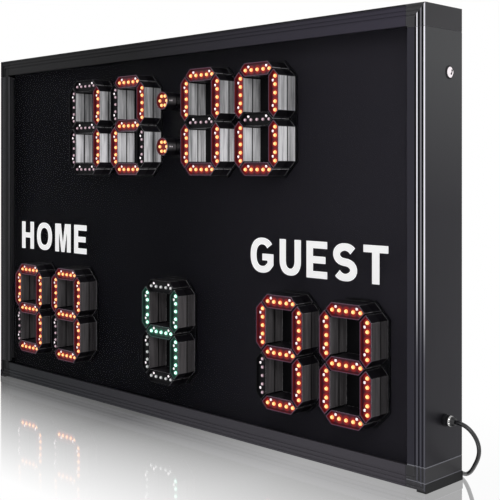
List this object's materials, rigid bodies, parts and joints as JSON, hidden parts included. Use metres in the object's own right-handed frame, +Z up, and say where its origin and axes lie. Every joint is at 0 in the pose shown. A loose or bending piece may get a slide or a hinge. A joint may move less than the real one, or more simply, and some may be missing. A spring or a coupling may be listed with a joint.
{
  "type": "electronic scoreboard",
  "caption": "Wide wall-mounted electronic scoreboard with raised seven-segment lamp digits behind a clear sheet in a ridged aluminium frame, with a mains lead.",
  "frame": {"origin": "on the floor under the middle of the board, midway between the side rails and midway from the digits' rims to the rails' rear edges", "axes": "+X to the right as the board is read, +Y to the back, +Z up; the digits face -Y"},
  "size_m": [1.2626, 0.2355, 0.74],
  "materials": {
    "anodised_rail": "dark grey anodised, fine satin",
    "corner_plastic": "moulded, satin",
    "foot_rubber": "matt black",
    "clear_sheet": "clear acrylic, glossy",
    "black_panel": "black, satin",
    "pale_housing": "pale grey moulding, satin",
    "dark_housing": "dark grey moulding, satin",
    "red_lamps": "clear lamp bodies on a dark board",
    "green_lamps": "clear lamp bodies on a dark board",
    "rear_steel": "black powder coat",
    "nickel": "nickel plated",
    "zinc": "zinc plated",
    "black_plastic": "moulded, satin",
    "cord_jacket": "black cable jacket, satin",
    "circuit": "green circuit board"
  },
  "bodies": {
    "board": {"rail_top": "anodised_rail", "rail_bottom": "anodised_rail", "rail_left": "anodised_rail", "rail_right": "anodised_rail", "corner_top_left": "corner_plastic", "corner_top_right": "corner_plastic", "corner_bottom_left": "corner_plastic", "corner_bottom_right": "corner_plastic", "foot_left": "foot_rubber", "foot_right": "foot_rubber", "front_sheet": "clear_sheet", "inner_panel": "black_panel", "clock_1_housing": "pale_housing", "clock_2_housing": "pale_housing", "clock_3_housing": "pale_housing", "clock_4_housing": "pale_housing", "home_1_housing": "dark_housing", "home_2_housing": "dark_housing", "period_1_housing": "dark_housing", "guest_1_housing": "dark_housing", "guest_2_housing": "dark_housing", "colon_housing": "dark_housing", "clock_1_lamps": "red_lamps", "clock_2_lamps": "red_lamps", "clock_3_lamps": "red_lamps", "clock_4_lamps": "red_lamps", "home_1_lamps": "red_lamps", "home_2_lamps": "red_lamps", "period_1_lamps": "green_lamps", "guest_1_lamps": "red_lamps", "guest_2_lamps": "red_lamps", "colon_lamps": "red_lamps", "rear_panel": "rear_steel", "hinge_fixed_leaf": "zinc", "hinge_pin": "zinc", "switch_body": "black_plastic", "side_bolt_left": "nickel", "side_bolt_right": "nickel", "side_nut_left": "zinc", "side_nut_right": "zinc", "hanger_plate_left": "zinc", "hanger_plate_right": "zinc", "gland_body": "black_plastic", "gland_dome": "black_plastic", "gland_lock_nut": "black_plastic", "cord_run": "cord_jacket", "cord_coil": "cord_jacket", "cord_tie": "foot_rubber", "mains_plug": "black_plastic", "power_supply": "zinc", "controller_board": "circuit", "radio_receiver": "black_plastic", "mains_terminals": "black_plastic", "inner_lead": "cord_jacket"},
    "door": {"service_door": "rear_steel", "hinge_door_leaf": "zinc"},
    "latch": {"latch_knob": "nickel", "latch_cam": "zinc"},
    "rocker": {"switch_rocker": "black_plastic"}
  },
  "joints": [
    {"name": "door_hinge", "type": "hinge", "parent": "board", "child": "door", "pos_m": [0.1984, 0.0539, 0.19], "axis": [0, 0, 1], "range_deg": [0, 110]},
    {"name": "latch_turn", "type": "hinge", "parent": "door", "child": "latch", "pos_m": [0.44, 0.052, 0.19], "axis": [0, -1, 0], "range_deg": [0, 90]},
    {"name": "switch_rock", "type": "hinge", "parent": "board", "child": "rocker", "pos_m": [0.535, 0.0524, 0.21], "axis": [1, 0, 0], "range_deg": [-20, 0]}
  ]
}
